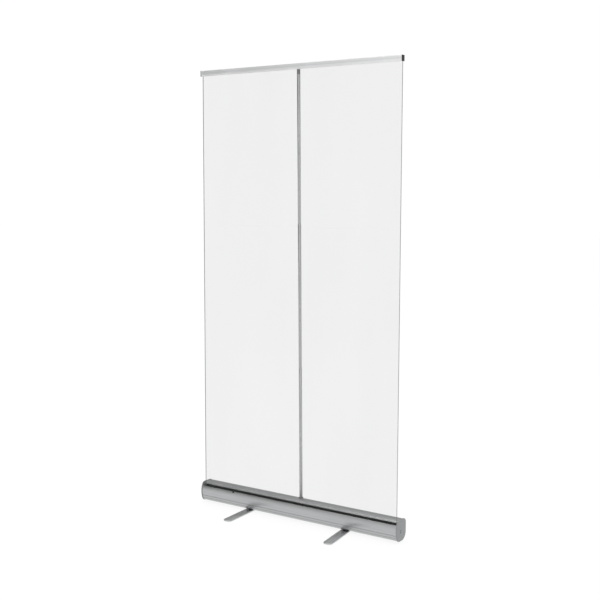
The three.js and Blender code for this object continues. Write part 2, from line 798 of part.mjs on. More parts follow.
const pole = new THREE.Group();
POLE_SECTIONS.forEach((name, index) => {
  pole.add(piece(`pole_${name}`, poleSection(index), poleAluminium));
});
pole.add(piece("pole_ferrule_lower", poleFerrule(1), steel));
pole.add(piece("pole_ferrule_upper", poleFerrule(2), steel));
pole.add(piece("pole_bungee", poleBungee(), elastic));
pole.add(piece("pole_foot_plug", poleFootPlug(), blackPlastic));
pole.add(piece("pole_hook", poleHook(), blackPlastic));

const rail = new THREE.Group();
rail.add(piece("top_rail", topRail(), railAluminium));
rail.add(piece("rail_clamp_strip", clampStrip(), railAluminium));
rail.add(piece("rail_end_cap_left", railEndCap(-1), blackPlastic));
rail.add(piece("rail_end_cap_right", railEndCap(1), blackPlastic));
rail.add(piece("banner_film", bannerFilm(), film));

const footGroup = new THREE.Group();
for (const foot of feet) {
  footGroup.add(piece(`${foot.side}_foot`, footBar(foot), footSteel));
  footGroup.add(piece(`${foot.side}_foot_front_pad`, footPad(foot, PAD_INSET - FOOT_REACH), rubber));
  footGroup.add(piece(`${foot.side}_foot_rear_pad`, footPad(foot, FOOT_HEEL - PAD_INSET), rubber));
  footGroup.add(piece(`${foot.side}_foot_bolt`, pivotBolt(foot), steel));
  footGroup.add(piece(`${foot.side}_foot_washer`, footWasher(foot), blackPlastic));
  footGroup.add(piece(`${foot.side}_foot_plate`, footPlate(foot), steel));
  footGroup.add(piece(`${foot.side}_foot_nut`, footNut(foot), steel));
}

const stand = new THREE.Group();
stand.add(housing, roller, pole, rail, footGroup);

// The origin is on the floor, under the middle of the stand's outer box.
const box = new THREE.Box3().setFromObject(stand, true);
const middle = box.getCenter(new THREE.Vector3());
stand.position.set(-middle.x, -middle.y, -box.min.z);

export default stand;
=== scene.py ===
import json
from math import asin, cos, degrees, pi, radians, sin

import bmesh
import bpy
from mathutils import Matrix, Vector


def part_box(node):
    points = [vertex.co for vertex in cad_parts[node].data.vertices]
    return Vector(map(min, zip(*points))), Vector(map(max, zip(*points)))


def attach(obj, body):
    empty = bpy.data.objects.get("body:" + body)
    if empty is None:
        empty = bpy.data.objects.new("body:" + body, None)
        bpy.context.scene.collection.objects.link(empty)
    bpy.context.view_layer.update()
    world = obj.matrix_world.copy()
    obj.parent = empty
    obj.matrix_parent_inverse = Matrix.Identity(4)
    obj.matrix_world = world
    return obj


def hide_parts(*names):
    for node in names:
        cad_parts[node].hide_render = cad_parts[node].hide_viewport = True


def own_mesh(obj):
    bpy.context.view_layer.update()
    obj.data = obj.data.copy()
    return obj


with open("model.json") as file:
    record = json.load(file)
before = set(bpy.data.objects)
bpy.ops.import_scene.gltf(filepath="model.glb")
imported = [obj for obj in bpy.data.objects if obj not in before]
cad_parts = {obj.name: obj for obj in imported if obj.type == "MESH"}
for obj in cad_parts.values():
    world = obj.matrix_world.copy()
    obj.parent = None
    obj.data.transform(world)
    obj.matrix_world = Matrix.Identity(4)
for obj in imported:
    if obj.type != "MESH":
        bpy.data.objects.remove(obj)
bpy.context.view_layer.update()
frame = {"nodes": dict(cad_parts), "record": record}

# ---- Camera ----
# The stand is seen from its front right, a little above the middle of the banner and from well
# back, so its long edges hardly converge.
film_plane = (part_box("banner_film")[0].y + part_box("banner_film")[1].y) / 2
housing_low, housing_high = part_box("housing_extrusion")
camera_place = Vector((2.4165, film_plane - 3.5529, housing_high.z + 1.3318))
camera_azimuth, camera_pitch, camera_roll = radians(33.985), radians(-6.108), radians(0.149)

camera_data = bpy.data.cameras.new("camera")
camera_data.sensor_width = 36
camera_data.lens = 61.07
camera = bpy.data.objects.new("camera", camera_data)
bpy.context.scene.collection.objects.link(camera)
camera.matrix_world = (
    Matrix.Translation(camera_place)
    @ Matrix.Rotation(camera_azimuth, 4, "Z")
    @ Matrix.Rotation(pi / 2 + camera_pitch, 4, "X")
    @ Matrix.Rotation(camera_roll, 4, "Z")
)
bpy.context.scene.camera = camera

# ---- Housing ----
# A thin-walled aluminium extrusion, silver anodised, that hides the roller. Its front wall bows
# out and tucks in under the stand, its top is rounded, and a mouth runs between the two lips.
housing_wall = 0.0018
front_reach = film_plane - housing_low.y
lip_reach = 0.015
lip_height = housing_high.z - 0.015
bulge_height = lip_height - 0.024
front_lower_radius = 0.100
front_lower_drop = 0.032
mouth_rear = 0.0012
rear_lip_radius = 0.024
rear_lip_sweep = 55
rear_top_radius = 0.0165
rear_bottom_radius = 0.0305
brow_radius = 0.0165
groove_heights = (0.0152, 0.026)
groove_width = 0.0021
groove_depth = 0.0014


def arc(mesh, corner, centre, turn, steps):
    """Carries the last corner of an outline round a centre, and returns the new last corner."""
    spun = bmesh.ops.spin(
        mesh,
        geom=[corner],
        cent=centre,
        axis=(1, 0, 0),
        angle=radians(turn),
        steps=steps,
        use_duplicate=False,
    )
    return spun["geom_last"][0]


def straight(mesh, corner, place):
    """Carries the last corner of an outline straight to a place."""
    end = bmesh.ops.extrude_vert_indiv(mesh, verts=[corner])["verts"][0]
    end.co = place
    return end


def housing_outline(mesh, x, grow, over_mouth=False):
    """Draws the housing's section at x, grown by some, from above the mouth round to the front lip.

    It starts at the rear lip, or, over the mouth, where the end caps' brow meets the front wall.
    """
    top, bottom, rear = housing_high.z, housing_low.z, housing_high.y
    sagitta = front_reach - lip_reach
    rise = lip_height - bulge_height
    front_radius = (rise**2 + sagitta**2) / (2 * sagitta)
    front_centre = Vector((x, film_plane - front_reach + front_radius, bulge_height))
    if over_mouth:
        wall_end = asin((top - brow_radius - bulge_height) / (front_radius - brow_radius))
        start_centre = front_centre + (front_radius - brow_radius) * Vector(
            (0, -cos(wall_end), sin(wall_end))
        )
        reach, sweep = brow_radius + grow, 90 - degrees(wall_end)
    else:
        wall_end = asin(rise / front_radius)
        lip_in = mouth_rear + rear_lip_radius * sin(radians(rear_lip_sweep))
        start_centre = Vector((x, film_plane + lip_in, top - rear_lip_radius))
        reach, sweep = rear_lip_radius + grow, rear_lip_sweep
    start = radians(90 + sweep)
    corner = mesh.verts.new(start_centre + Vector((0, reach * cos(start), reach * sin(start))))
    first = corner
    corner = arc(mesh, corner, start_centre, -sweep, 10)
    top_centre = Vector((x, rear - rear_top_radius, top - rear_top_radius))
    corner = straight(mesh, corner, top_centre + Vector((0, 0, rear_top_radius + grow)))
    corner = arc(mesh, corner, top_centre, -90, 10)
    low_centre = Vector((x, rear - rear_bottom_radius, bottom + rear_bottom_radius))
    corner = straight(mesh, corner, low_centre + Vector((0, rear_bottom_radius + grow, 0)))
    corner = arc(mesh, corner, low_centre, -90, 12)

    turn_under = asin(front_lower_drop / front_lower_radius)
    corner_radius = (bulge_height - front_lower_drop - bottom) / (1 - sin(turn_under))
    lower_centre = Vector((x, film_plane - front_reach + front_lower_radius, bulge_height))
    corner_centre = lower_centre - (front_lower_radius - corner_radius) * Vector(
        (0, cos(turn_under), sin(turn_under))
    )
    corner = straight(mesh, corner, corner_centre - Vector((0, 0, corner_radius + grow)))
    corner = arc(mesh, corner, corner_centre, -(90 - degrees(turn_under)), 12)
    corner = arc(mesh, corner, lower_centre, -degrees(turn_under), 8)
    return first, arc(mesh, corner, front_centre, -degrees(wall_end), 10)


def pulled(mesh, vector):
    """Pulls every edge of an open or closed outline along a vector, into faces."""
    made = bmesh.ops.extrude_edge_only(mesh, edges=mesh.edges[:])["geom"]
    far = [g for g in made if isinstance(g, bmesh.types.BMVert)]
    bmesh.ops.translate(mesh, verts=far, vec=vector)


def filled(mesh, vector):
    """Fills a closed outline with a face and pulls it along a vector, into a closed bar."""
    bmesh.ops.contextual_create(mesh, geom=mesh.edges[:])
    made = bmesh.ops.extrude_face_region(mesh, geom=mesh.faces[:])["geom"]
    far = [g for g in made if isinstance(g, bmesh.types.BMVert)]
    bmesh.ops.translate(mesh, verts=far, vec=vector)
    bmesh.ops.recalc_face_normals(mesh, faces=mesh.faces[:])


def eased(mesh, edges, size, segments=2):
    """Rounds edges over."""
    bmesh.ops.bevel(
        mesh,
        geom=edges,
        offset=size,
        offset_type="OFFSET",
        affect="EDGES",
        segments=segments,
        profile=0.5,
        material=-1,
        clamp_overlap=True,
    )


def sharp_edges(mesh, least=40):
    """The edges that turn by more than some degrees."""
    return [e for e in mesh.edges if e.is_manifold and e.calc_face_angle(0) > radians(least)]


def made_object(mesh, name, material):
    """Turns a finished bmesh into an object with smooth rounds and crisp edges."""
    data = bpy.data.meshes.new(name)
    mesh.to_mesh(data)
    mesh.free()
    data.shade_smooth()
    data.set_sharp_from_angle(angle=radians(26))
    data.materials.append(material)
    made = bpy.data.objects.new(name, data)
    bpy.context.scene.collection.objects.link(made)
    return made


def combined(piece, tool, operation):
    """Cuts one object with another, or joins them, and removes the tool."""
    boolean = piece.modifiers.new("boolean", "BOOLEAN")
    boolean.operation = operation
    boolean.solver = "EXACT"
    boolean.object = tool
    with bpy.context.temp_override(object=piece, active_object=piece, selected_objects=[piece]):
        bpy.ops.object.modifier_apply(modifier=boolean.name)
    bpy.data.objects.remove(tool)
    piece.data.shade_smooth()
    piece.data.set_sharp_from_angle(angle=radians(26))
    return piece


def fitted(piece, body, slot, *nodes):
    """Puts a finished piece on its CAD body, in place of the nodes it stands for."""
    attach(piece, body)
    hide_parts(*nodes)
    return piece


def add_node(tree, kind, inputs=None, **settings):
    """Adds a shader node with its settings, and links or sets its inputs."""
    node = tree.nodes.new(kind)
    for name, value in settings.items():
        setattr(node, name, value)
    for name, value in (inputs or {}).items():
        if isinstance(value, bpy.types.NodeSocket):
            tree.links.new(value, node.inputs[name])
        else:
            node.inputs[name].default_value = value
    return node


def ranged(tree, value, start, end, low=0.0, high=1.0):
    """Carries a value from one range into another."""
    inputs = {"Value": value, "From Min": start, "From Max": end, "To Min": low, "To Max": high}
    return add_node(tree, "ShaderNodeMapRange", inputs).outputs["Result"]


def scaled(tree, vector, factor):
    """A colour or a place times a number."""
    inputs = {0: vector, "Scale": factor}
    return add_node(tree, "ShaderNodeVectorMath", inputs, operation="SCALE").outputs[0]


def new_group(name, inputs, outputs):
    """A shader node group, and its input and output nodes."""
    group = bpy.data.node_groups.new(name, "ShaderNodeTree")
    for socket, (kind, value) in inputs.items():
        made = group.interface.new_socket(socket, in_out="INPUT", socket_type=kind)
        if value is not None:
            made.default_value = value
    for socket, kind in outputs.items():
        group.interface.new_socket(socket, in_out="OUTPUT", socket_type=kind)
    return group, group.nodes.new("NodeGroupInput"), group.nodes.new("NodeGroupOutput")


def new_material(name):
    """A material with its Principled shader, and the object's own coordinates."""
    material = bpy.data.materials.new(name)
    material.use_nodes = True
    tree = material.node_tree
    shader = tree.nodes["Principled BSDF"]
    place = add_node(tree, "ShaderNodeTexCoord").outputs["Object"]
    return material, tree, shader, place


# Fine lines that a die or a brush leaves along a metal part, with faint streaks and handling marks.
drawn_lines, lines_in, lines_out = new_group(
    "drawn lines",
    {
        "Vector": ("NodeSocketVector", None),
        "Fineness": ("NodeSocketFloat", 1.0),
        "Smudge Size": ("NodeSocketFloat", 9.0),
    },
    {"Lines": "NodeSocketFloat", "Streaks": "NodeSocketFloat", "Smudges": "NodeSocketFloat"},
)
fine = add_node(
    drawn_lines,
    "ShaderNodeTexNoise",
    {
        "Vector": lines_in.outputs["Vector"],
        "Scale": lines_in.outputs["Fineness"],
        "Detail": 3.0,
        "Roughness": 0.6,
    },
)
wide = add_node(
    drawn_lines,
    "ShaderNodeTexNoise",
    {
        "Vector": scaled(drawn_lines, lines_in.outputs["Vector"], 0.16),
        "Scale": lines_in.outputs["Fineness"],
        "Detail": 2.0,
    },
)
marks = add_node(
    drawn_lines,
    "ShaderNodeTexNoise",
    {
        "Vector": add_node(drawn_lines, "ShaderNodeTexCoord").outputs["Object"],
        "Scale": lines_in.outputs["Smudge Size"],
        "Detail": 5.0,
        "Roughness": 0.62,
        "Distortion": 0.4,
    },
)
for source, name in ((fine, "Lines"), (wide, "Streaks"), (marks, "Smudges")):
    drawn_lines.links.new(source.outputs["Fac"], lines_out.inputs[name])


def drawn_metal(name, colour, roughness, along, turn=0.0, depth=0.05, metallic=1.0):
    """Metal with lines along one direction: along is the stretch of the pattern on X, Y and Z."""
    material, tree, shader, place = new_material(name)
    mapping = add_node(
        tree,
        "ShaderNodeMapping",
        {"Vector": place, "Rotation": (0, 0, turn), "Scale": along},
        vector_type="TEXTURE",
    )
    lines = add_node(
        tree,
        "ShaderNodeGroup",
        node_tree=drawn_lines,
        inputs={"Vector": mapping.outputs["Vector"], "Fineness": 1.0, "Smudge Size": 9.0},
    )
    tinted = scaled(tree, colour, ranged(tree, lines.outputs["Streaks"], 0.3, 0.7, 0.93, 1.05))
    polish = ranged(tree, lines.outputs["Lines"], 0.25, 0.75, roughness - 0.05, roughness + 0.07)
    handled = ranged(tree, lines.outputs["Smudges"], 0.5, 0.72, 0.0, 0.08)
    rough = add_node(tree, "ShaderNodeMath", {0: polish, 1: handled}, operation="ADD")
    bump = add_node(
        tree,
        "ShaderNodeBump",
        {"Strength": depth, "Distance": 0.0003, "Height": lines.outputs["Lines"]},
    )
    tree.links.new(tinted, shader.inputs["Base Color"])
    tree.links.new(rough.outputs[0], shader.inputs["Roughness"])
    tree.links.new(bump.outputs["Normal"], shader.inputs["Normal"])
    shader.inputs["Metallic"].default_value = metallic
    return material


housing_metal = drawn_metal("anodised_housing", (0.46, 0.465, 0.47), 0.34, (0.9, 0.0009, 0.0009))

mesh = bmesh.new()
housing_outline(mesh, housing_low.x, 0)
pulled(mesh, (housing_high.x - housing_low.x, 0, 0))
lowest = min(mesh.faces, key=lambda f: f.calc_center_median().z)
lowest.normal_update()
if lowest.normal.z > 0:
    bmesh.ops.reverse_faces(mesh, faces=mesh.faces[:])
bmesh.ops.solidify(mesh, geom=mesh.faces[:], thickness=housing_wall)
bmesh.ops.recalc_face_normals(mesh, faces=mesh.faces[:])
lips = [
    e
    for e in sharp_edges(mesh, 60)
    if abs(e.verts[0].co.x - e.verts[1].co.x) > 0.5 and e.verts[0].co.z > bulge_height
]
eased(mesh, lips, 0.00045)
housing = made_object(mesh, "housing_shell", housing_metal)


# The pole's socket passes through a hole bored square to the leaning pole, and the two foot bolts
# come up through the floor of the extrusion.
socket_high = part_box("pole_socket")[1]
socket_radius = socket_high.x
pole_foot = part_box("pole_foot_plug")
pole_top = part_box("pole_hook")
pole_radius = pole_foot[1].x
lean = frame["record"]["behaviour"]["joints"][2]["axis"]
lean_angle = -asin(lean[1])
seat = Vector((0, pole_foot[1].y - pole_radius * cos(lean_angle), pole_foot[0].z))


def leaning(mesh):
    """Stands what was made about Z, from its foot up, on the pole's leaning axis."""
    turn = Matrix.Rotation(lean_angle, 3, "X")
    bmesh.ops.rotate(mesh, verts=mesh.verts[:], cent=(0, 0, 0), matrix=turn)
    bmesh.ops.translate(mesh, verts=mesh.verts[:], vec=seat)


def cylinder(mesh, radius, low, high, segments=48, x=0.0, y=0.0):
    """Adds a capped cylinder about an upright axis."""
    bmesh.ops.create_cone(
        mesh,
        cap_ends=True,
        segments=segments,
        radius1=radius,
        radius2=radius,
        depth=high - low,
        matrix=Matrix.Translation((x, y, (low + high) / 2)),
    )


def box_between(mesh, low, high):
    """Adds a box between two corners."""
    middle, size = (Vector(low) + Vector(high)) / 2, Vector(high) - Vector(low)
    bmesh.ops.create_cube(
        mesh, size=1, matrix=Matrix.Translation(middle) @ Matrix.Diagonal((*size, 1))
    )


bolt_hole_radius = 0.0033
mesh = bmesh.new()
cylinder(mesh, socket_radius + 0.0003, 0, housing_high.z)
leaning(mesh)
for foot in ("left", "right"):
    bolt_low, bolt_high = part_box(f"{foot}_foot_bolt")
    middle = (bolt_low + bolt_high) / 2
    cylinder(mesh, bolt_hole_radius, 0, bolt_high.z, 24, middle.x, middle.y)
combined(housing, made_object(mesh, "holes", housing_metal), "DIFFERENCE")

# Two fine grooves trim the lower front wall.
for height in groove_heights:
    low = housing_low.z + height
    wall = front_lower_radius - (front_lower_radius**2 - (bulge_height - low) ** 2) ** 0.5
    face = film_plane - front_reach + wall
    mesh = bmesh.new()
    box_between(
        mesh,
        (housing_low.x - 0.01, face - 0.002, low),
        (housing_high.x + 0.01, face + groove_depth, low + groove_width),
    )
    combined(housing, made_object(mesh, "groove", housing_metal), "DIFFERENCE")
fitted(housing, "base", "housing_aluminium", "housing_extrusion")

# ---- End caps ----
# Moulded caps in fine-textured silver-grey plastic, a little proud of the extrusion all round.
# They close the ends of the mouth, the left one with just its outer skin. The right one holds the
# flat end of the spring's shaft.
cap_rim = 0.0015
cap_edge = 0.0012
left_cap_skin = 0.0016
cap_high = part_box("right_end_cap")[1]
cap_inner = housing_high.x + 0.0003
cap_thickness = cap_high.x - cap_inner
shaft_low, shaft_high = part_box("spring_shaft")
shaft_middle = (shaft_low + shaft_high) / 2

# A moulded surface: the fine spark-eroded texture of the tool, with faint flow and rub marks.
moulded_skin, skin_in, skin_out = new_group(
    "moulded skin",
    {"Grain": ("NodeSocketFloat", 1800.0), "Marks": ("NodeSocketFloat", 14.0)},
    {"Height": "NodeSocketFloat", "Mottle": "NodeSocketFloat", "Rubs": "NodeSocketFloat"},
)
skin_place = add_node(moulded_skin, "ShaderNodeTexCoord").outputs["Object"]
skin_grain = add_node(
    moulded_skin,
    "ShaderNodeTexNoise",
    {"Vector": skin_place, "Scale": skin_in.outputs["Grain"], "Detail": 2.0, "Roughness": 0.7},
)
skin_flow = add_node(
    moulded_skin,
    "ShaderNodeTexNoise",
    {"Vector": skin_place, "Scale": skin_in.outputs["Marks"], "Detail": 4.0, "Distortion": 0.6},
)
skin_rubs = add_node(
    moulded_skin,
    "ShaderNodeTexNoise",
    {
        "Vector": add_node(
            moulded_skin,
            "ShaderNodeVectorMath",
            {0: skin_place, 1: (90.0, 700.0, 160.0)},
            operation="MULTIPLY",
        ).outputs[0],
        "Scale": 1.0,
        "Detail": 3.0,
        "Roughness": 0.75,
    },
)
for source, name in ((skin_grain, "Height"), (skin_flow, "Mottle"), (skin_rubs, "Rubs")):
    moulded_skin.links.new(source.outputs["Fac"], skin_out.inputs[name])


def moulded(name, colour, rubbed, roughness, grain=1800.0, depth=0.12, metallic=0.0):
    """Moulded plastic or rubber, lighter where it has been rubbed."""
    material, tree, shader, _ = new_material(name)
    skin = add_node(
        tree, "ShaderNodeGroup", node_tree=moulded_skin, inputs={"Grain": grain, "Marks": 14.0}
    )
    rub = ranged(tree, skin.outputs["Rubs"], 0.58, 0.78, 0.0, 0.5)
    mottle = ranged(tree, skin.outputs["Mottle"], 0.3, 0.7, 0.92, 1.06)
    mixed = tree.nodes.new("ShaderNodeMix")
    mixed.data_type = "RGBA"
    tree.links.new(rub, mixed.inputs["Factor"])
    mixed.inputs[6].default_value = (*colour, 1)
    mixed.inputs[7].default_value = (*rubbed, 1)
    rough = ranged(tree, skin.outputs["Mottle"], 0.3, 0.7, roughness - 0.06, roughness + 0.06)
    bump = add_node(
        tree,
        "ShaderNodeBump",
        {"Strength": depth, "Distance": 0.0002, "Height": skin.outputs["Height"]},
    )
    tree.links.new(scaled(tree, mixed.outputs[2], mottle), shader.inputs["Base Color"])
    tree.links.new(rough, shader.inputs["Roughness"])
    tree.links.new(bump.outputs["Normal"], shader.inputs["Normal"])
    shader.inputs["Metallic"].default_value = metallic
    return material


cap_plastic = moulded("silver_grey_moulding", (0.245, 0.25, 0.255), (0.33, 0.335, 0.34), 0.5)


def end_cap(side):
    """One end cap: the housing's outline carried on over the mouth, its outer edge rounded."""
    mesh = bmesh.new()
    inner, outer = side * cap_inner, side * (cap_inner + cap_thickness)
    housing_outline(mesh, inner, cap_rim, over_mouth=True)
    bmesh.ops.remove_doubles(mesh, verts=mesh.verts[:], dist=1e-5)
    filled(mesh, (outer - inner, 0, 0))
    rim = [e for e in sharp_edges(mesh) if all(abs(v.co.x - outer) < 1e-5 for v in e.verts)]
    eased(mesh, rim, cap_edge, 4)
    return made_object(mesh, f"end_cap_{'right' if side > 0 else 'left'}", cap_plastic)


def screw_places():
    """Where the cap screws sit, on the right: the middle of each head, on the cap's outer face."""
    for place in ("top", "rear", "front"):
        low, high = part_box(f"right_cap_screw_{place}")
        yield place, Vector((high.x, (low.y + high.y) / 2, (low.z + high.z) / 2))


screw_head_radius = (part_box("right_cap_screw_top")[1].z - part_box("right_cap_screw_top")[0].z) / 2
screw_head_height = 0.0022
screw_rim = 0.0003
screw_shank = 0.0015
screw_length = 0.020
cross_reach, cross_width, cross_depth = 0.0019, 0.00045, 0.0014


def screw_body(mesh, clearance):
    """A countersunk screw about Z, its head up at z = 0, or with a clearance the hole for it."""
    corner = mesh.verts.new((0, 0, -screw_length))
    for radius, height in (
        (screw_shank + clearance, -screw_length),
        (screw_shank + clearance, -screw_head_height),
        (screw_head_radius + clearance, -screw_rim),
        (screw_head_radius + clearance, 2 * clearance),
        (0, 2 * clearance),
    ):
        corner = straight(mesh, corner, Vector((radius, 0, height)))
    bmesh.ops.spin(
        mesh,
        geom=mesh.edges[:],
        cent=(0, 0, 0),
        axis=(0, 0, 1),
        angle=2 * pi,
        steps=36,
        use_merge=True,
    )
    bmesh.ops.remove_doubles(mesh, verts=mesh.verts[:], dist=1e-6)
    bmesh.ops.recalc_face_normals(mesh, faces=mesh.faces[:])


def facing_out(mesh, side, place):
    """Turns what was made about Z to face out of an end cap, and puts it there."""
    turn = Matrix.Rotation(side * pi / 2, 3, "Y")
    bmesh.ops.rotate(mesh, verts=mesh.verts[:], cent=(0, 0, 0), matrix=turn)
    there = Vector((side * place.x, place.y, place.z))
    bmesh.ops.translate(mesh, verts=mesh.verts[:], vec=there)


zinc = drawn_metal("zinc_plated", (0.40, 0.41, 0.42), 0.3, (0.004, 0.004, 0.004), depth=0.08)
tang_half_width, tang_slot_rise = 0.0019, 0.0062
tang_hole_radius, tang_hole_rise = 0.0025, 0.0045

for side, name in ((-1, "left"), (1, "right")):
    cap = end_cap(side)
    for place, spot in screw_places():
        hole = bmesh.new()
        screw_body(hole, 0.0003)
        facing_out(hole, side, spot)
        combined(cap, made_object(hole, "hole", cap_plastic), "DIFFERENCE")

        shank = bmesh.new()
        screw_body(shank, 0)
        facing_out(shank, side, spot)
        screw = made_object(shank, f"cap_screw_{name}_{place}", zinc)
        for along, across in ((cross_reach, cross_width), (cross_width, cross_reach)):
            recess = bmesh.new()
            box_between(recess, (-along, -across, -cross_depth), (along, across, 0.001))
            facing_out(recess, side, spot)
            combined(screw, made_object(recess, "recess", zinc), "DIFFERENCE")
        fitted(screw, "base", "plated_steel", f"{name}_cap_screw_{place}")
    if side > 0:
        slot_cut = bmesh.new()
        box_between(
            slot_cut,
            (cap_inner - 0.001, shaft_middle.y - tang_half_width, shaft_middle.z - tang_slot_rise),
            (cap_high.x + 0.001, shaft_middle.y + tang_half_width, shaft_middle.z + tang_slot_rise),
        )
        combined(cap, made_object(slot_cut, "slot", cap_plastic), "DIFFERENCE")
        for way in (-1, 1):
            end_hole = bmesh.new()
            cylinder(end_hole, tang_hole_radius, -0.001, cap_thickness + 0.001, 32)
            end = Vector((-cap_high.x, shaft_middle.y, shaft_middle.z + way * tang_hole_rise))
            facing_out(end_hole, -1, end)
            combined(cap, made_object(end_hole, "end_hole", cap_plastic), "DIFFERENCE")
    else:
        entry = bmesh.new()
        box_between(
            entry,
            (-cap_high.x + left_cap_skin, film_plane - lip_reach + 0.001, bulge_height),
            (-cap_inner + 0.001, film_plane + mouth_rear, housing_high.z + 0.01),
        )
        combined(cap, made_object(entry, "entry", cap_plastic), "DIFFERENCE")
    fitted(cap, "base", "silver_plastic", f"{name}_end_cap")

# ---- Spring and roller ----
# Inside the housing a steel shaft, held still by the right end cap, carries a torsion spring that
# turns the aluminium roller and pulls the film in. The roller's other end turns on a plain pin.
spring_steel = drawn_metal("spring_steel", (0.24, 0.25, 0.26), 0.36, (0.003, 0.003, 0.003))
tube_metal = drawn_metal("roller_tube", (0.52, 0.53, 0.54), 0.32, (0.8, 0.001, 0.001))
black_plastic = moulded("black_moulding", (0.016, 0.016, 0.017), (0.05, 0.05, 0.052), 0.5)
grey_plastic = moulded("grey_moulding", (0.09, 0.092, 0.095), (0.15, 0.15, 0.155), 0.52)
rubber = moulded("black_rubber", (0.014, 0.014, 0.014), (0.045, 0.045, 0.045), 0.78, grain=900.0)
elastic = moulded(
    "elastic_cord", (0.02, 0.02, 0.022), (0.07, 0.07, 0.075), 0.85, grain=600.0, depth=0.5
)


def dressed(material, *nodes):
    """Gives CAD nodes whose shape is right their finished material."""
    for name in nodes:
        shape = frame["nodes"][name].data
        shape.materials.clear()
        shape.materials.append(material)


dressed(spring_steel, "torsion_spring")
dressed(zinc, "spring_shaft", "idle_pin")
dressed(tube_metal, "roller_tube")
dressed(black_plastic, "spring_anchor", "roller_plug_left", "roller_plug_right")

# ---- Lip bumper ----
# A small rubber clip pressed onto the front lip, which stops the rail from marking the housing.
# It stands on the lip's edge and hangs a little way down its outside.
bumper_low, bumper_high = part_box("lip_bumper")
skirt_foot = lip_height - 0.0055
mesh = bmesh.new()
corner = first = mesh.verts.new((bumper_low.x, bumper_high.y, bumper_low.z))
for y, z in (
    (bumper_high.y, bumper_high.z),
    (bumper_low.y - 0.0002, bumper_high.z),
    (bumper_low.y - 0.0014, bumper_low.z),
    (bumper_low.y - 0.0034, skirt_foot),
    (bumper_low.y - 0.0013, skirt_foot),
    (bumper_low.y + 0.0008, bumper_low.z),
):
    corner = straight(mesh, corner, Vector((bumper_low.x, y, z)))
mesh.edges.new((corner, first))
filled(mesh, (bumper_high.x - bumper_low.x, 0, 0))
eased(mesh, sharp_edges(mesh, 60), 0.0004)
fitted(made_object(mesh, "rubber_bumper", rubber), "base", "rubber", "lip_bumper")

# ---- Pole socket ----
# A plastic cup, pushed into the hole in the housing's top, with a thin flange that stops it.
socket_floor = 0.0023
socket_bore = pole_radius + 0.0003
flange_radius, flange_height = 0.0098, 0.0009
collar = (socket_high.z - seat.z) / cos(lean_angle)
mesh = bmesh.new()
corner = mesh.verts.new((0, 0, -socket_floor))
flange_base = collar - 0.0019
for radius, height in (
    (socket_radius, -socket_floor),
    (socket_radius, flange_base),
    (flange_radius, flange_base),
    (flange_radius, flange_base + flange_height),
    (socket_bore + 0.0011, collar - 0.0003),
    (socket_bore, collar - 0.0012),
    (socket_bore, -0.0003),
    (0, -0.0003),
):
    corner = straight(mesh, corner, Vector((radius, 0, height)))
bmesh.ops.spin(
    mesh, geom=mesh.edges[:], cent=(0, 0, 0), axis=(0, 0, 1), angle=2 * pi, steps=48, use_merge=True
)
bmesh.ops.remove_doubles(mesh, verts=mesh.verts[:], dist=1e-6)
bmesh.ops.recalc_face_normals(mesh, faces=mesh.faces[:])
leaning(mesh)
fitted(made_object(mesh, "socket_cup", grey_plastic), "base", "grey_plastic", "pole_socket")

# ---- Pole ----
# Three drawn aluminium tubes on an elastic cord, plugged together over steel ferrules. A hooked
# plug at the top reaches up into the channel behind the rail, and a round foot sits in the socket.
pole_metal = drawn_metal("drawn_pole", (0.5, 0.505, 0.51), 0.26, (0.0009, 0.0009, 0.9))
pole_wall = 0.0009
tube_edge = 0.00035


def along_pole(point):
    """How far up the pole's axis a height is, from its foot."""
    return (point - seat.z) / cos(lean_angle)


for name in ("lower", "middle", "upper"):
    low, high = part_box(f"pole_{name}")
    reach = pole_radius * sin(lean_angle)
    foot_end, head_end = along_pole(low.z + reach), along_pole(high.z - reach)
    mesh = bmesh.new()
    at_foot_end = Matrix.Translation((0, 0, foot_end))
    bmesh.ops.create_circle(
        mesh, cap_ends=False, segments=56, radius=pole_radius, matrix=at_foot_end
    )
    pulled(mesh, (0, 0, head_end - foot_end))
    bmesh.ops.recalc_face_normals(mesh, faces=mesh.faces[:])
    bmesh.ops.solidify(mesh, geom=mesh.faces[:], thickness=pole_wall)
    bmesh.ops.recalc_face_normals(mesh, faces=mesh.faces[:])
    eased(mesh, sharp_edges(mesh, 60), tube_edge)
    leaning(mesh)
    tube = made_object(mesh, f"pole_tube_{name}", pole_metal)
    fitted(tube, "pole", "pole_aluminium", f"pole_{name}")

dressed(zinc, "pole_ferrule_lower", "pole_ferrule_upper")
dressed(elastic, "pole_bungee")
dressed(black_plastic, "pole_foot_plug")

# The hook: a plug with a rounded head, and a flat tongue that steps forward and up.
hook_low, hook_high = pole_top
head_top = along_pole(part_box("pole_upper")[1].z) + 0.0263
head_low = along_pole(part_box("pole_upper")[1].z - pole_radius * sin(lean_angle)) + 0.0003
tongue_half_width, tongue_thickness = 0.006, 0.002
rail_low, rail_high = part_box("top_rail")
web_top = rail_low.z + 0.0087
web_bottom = web_top - 0.0036
mesh = bmesh.new()
cylinder(mesh, pole_radius, head_low, head_top, 48)
eased(mesh, [e for e in sharp_edges(mesh, 60) if e.verts[0].co.z > head_low + 0.01], 0.0012, 4)
cylinder(mesh, pole_radius - pole_wall - 0.0003, head_low - 0.020, head_low + 0.002, 40)
leaning(mesh)
hook_plastic = moulded("pole_grey_moulding", (0.20, 0.203, 0.206), (0.3, 0.3, 0.3), 0.42)
hook = made_object(mesh, "pole_hook_plug", hook_plastic)
mesh = bmesh.new()
web_rear = hook_high.y - pole_radius - 0.002
corner = first = mesh.verts.new((-tongue_half_width, hook_low.y, web_bottom))
